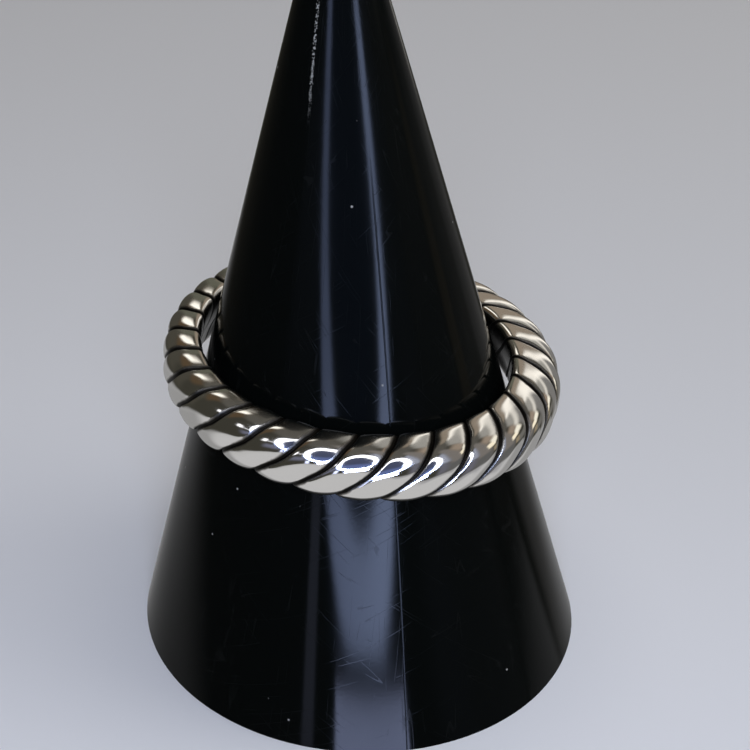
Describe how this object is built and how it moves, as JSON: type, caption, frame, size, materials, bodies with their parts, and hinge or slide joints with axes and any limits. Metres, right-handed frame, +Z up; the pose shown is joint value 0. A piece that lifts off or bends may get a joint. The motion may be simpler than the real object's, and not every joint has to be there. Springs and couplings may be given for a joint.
{
  "type": "rope twist ring on a cone stand",
  "caption": "Silver finger ring of twisted rope strands with darkened grooves, resting a little askew on a plain black cone stand.",
  "frame": {"origin": "middle of the stand's foot, on the surface that it stands on", "axes": "+Z up, +X to the right and +Y to the back as seen from the front, the side that the picture shows"},
  "size_m": [0.0275, 0.0274, 0.0432],
  "materials": {
    "silver": "polished silver with blackened grooves",
    "black_plastic": "glossy black moulding with fine scratches"
  },
  "bodies": {
    "root": {"rope_twist_ring": "silver", "cone_stand": "black_plastic"}
  },
  "joints": []
}
